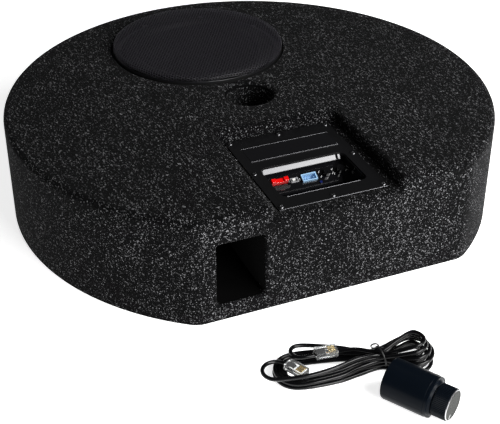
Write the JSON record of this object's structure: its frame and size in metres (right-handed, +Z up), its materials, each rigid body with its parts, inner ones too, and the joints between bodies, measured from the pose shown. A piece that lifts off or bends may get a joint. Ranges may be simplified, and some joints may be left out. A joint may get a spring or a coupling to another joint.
{
  "type": "powered car subwoofer",
  "caption": "Round carpeted subwoofer box with a flat ported front, a grilled driver, a centre bolt hole, a sunk plate amplifier, and a wired level remote.",
  "frame": {"origin": "on the hold-down bolt's axis, at the underside of the box", "axes": "+Z up along the bolt; -Y out of the flat front; +X to the right of someone facing the flat front"},
  "size_m": [0.55, 0.7263, 0.128],
  "materials": {
    "board": "raw fibreboard with pale pressed faces",
    "port_board": "fibreboard stained black",
    "tube": "matt black card and plastic tube",
    "carpet": "needle-punched felt, near black with pale grey flecks",
    "basket_steel": "stamped steel, satin black paint",
    "plated_steel": "zinc-plated steel",
    "ferrite": "ground dark ferrite",
    "rubber_black": "matt black butyl rubber",
    "spider_cloth": "resin-stiffened woven cotton",
    "cone_paper": "black pressed paper",
    "coil_copper": "enamelled copper wire on a former",
    "black_screw": "black-oxide steel screws with cross recesses",
    "lead_wire": "insulated wire, one red and one black",
    "grille_paint": "perforated steel, black powder coat",
    "grille_ring": "black moulded ring",
    "amp_paint": "satin black paint on aluminium",
    "foam": "black closed-cell foam",
    "amp_gloss": "gloss black moulding",
    "cover_steel": "galvanised sheet steel",
    "circuit_board": "green circuit board",
    "board_parts": "sleeved capacitors, a wound choke and packages",
    "heat_bar": "extruded aluminium",
    "black_plastic": "black moulded plastic",
    "fuse_red": "translucent red plastic on tinned blades",
    "input_blue": "pale blue moulded header",
    "rca_nickel": "nickel-plated sleeves with white centres",
    "light_blue": "clear blue lens",
    "pot_case": "moulded potentiometer case",
    "switch_grey": "grey moulded switch body",
    "slider_white": "pale grey moulded slider",
    "remote_case": "black moulded case with a soft sheen",
    "remote_knob": "black moulded knob with fine ribs",
    "spun_aluminium": "dark anodised disc, spun, with a bright bevelled rim",
    "cable_black": "smooth black jacket",
    "tie_black": "thin black twist tie",
    "clear_plug": "clear moulded plastic with gold contacts"
  },
  "bodies": {
    "enclosure": {"bottom_board": "board", "top_board": "board", "side_wall": "board", "front_board": "board", "amp_shelf": "board", "port_side_outer": "port_board", "port_side_inner": "port_board", "port_roof": "port_board", "bolt_tube": "tube", "top_carpet": "carpet", "side_carpet": "carpet", "bottom_carpet": "carpet", "recess_carpet": "carpet", "driver_basket": "basket_steel", "driver_top_plate": "plated_steel", "driver_magnet": "ferrite", "driver_back_plate": "plated_steel", "driver_surround": "rubber_black", "driver_spider": "spider_cloth", "driver_gasket": "rubber_black", "driver_terminals": "plated_steel", "driver_screws": "black_screw", "driver_leads": "lead_wire", "grille_ring": "grille_ring", "grille_mesh": "grille_paint", "amp_plate": "amp_paint", "amp_gasket": "foam", "amp_inlay": "amp_gloss", "amp_well": "amp_gloss", "amp_cover": "cover_steel", "amp_board": "circuit_board", "amp_parts": "board_parts", "amp_heat_bar": "heat_bar", "amp_screws": "black_screw", "fuse_holder": "black_plastic", "blade_fuse": "fuse_red", "speaker_input": "input_blue", "power_strip": "black_plastic", "rca_jacks": "rca_nickel", "remote_socket": "black_plastic", "power_light": "light_blue", "trim_pots": "pot_case", "phase_switch": "switch_grey", "remote_upper": "remote_case", "remote_lower": "remote_case", "remote_collar": "remote_case", "remote_pot": "pot_case", "remote_jack": "black_plastic", "cable_hank": "cable_black", "cable_tie": "tie_black", "plug_a": "clear_plug", "plug_b": "clear_plug"},
    "cone_motion": {"driver_cone": "cone_paper", "driver_dust_cap": "cone_paper", "driver_voice_coil": "coil_copper"},
    "gain_control": {"gain_knob": "black_plastic"},
    "lowpass_control": {"lowpass_knob": "black_plastic"},
    "phase_control": {"phase_slider": "slider_white"},
    "remote_dial": {"remote_knob": "remote_knob", "remote_knob_cap": "spun_aluminium"}
  },
  "joints": [
    {"name": "cone_travel", "type": "slide", "parent": "enclosure", "child": "cone_motion", "axis": [0, 0, 1], "range_m": [-0.005, 0.005], "stiffness_N_per_m": 2500, "deforming": ["driver_surround", "driver_spider"]},
    {"name": "gain_turn", "type": "hinge", "parent": "enclosure", "child": "gain_control", "pos_m": [0.0255, -0.1486, 0.09037], "axis": [0, 0.4695, -0.8829], "range_deg": [0, 300]},
    {"name": "lowpass_turn", "type": "hinge", "parent": "enclosure", "child": "lowpass_control", "pos_m": [0.041, -0.1486, 0.09037], "axis": [0, 0.4695, -0.8829], "range_deg": [0, 300]},
    {"name": "phase_slide", "type": "slide", "parent": "enclosure", "child": "phase_control", "axis": [1, 0, 0], "range_m": [0, 0.0025]},
    {"name": "remote_turn", "type": "hinge", "parent": "enclosure", "child": "remote_dial", "pos_m": [0.00144, -0.42971, 0.0184], "axis": [-0.5299, 0.848, 0], "range_deg": [0, 300]}
  ]
}
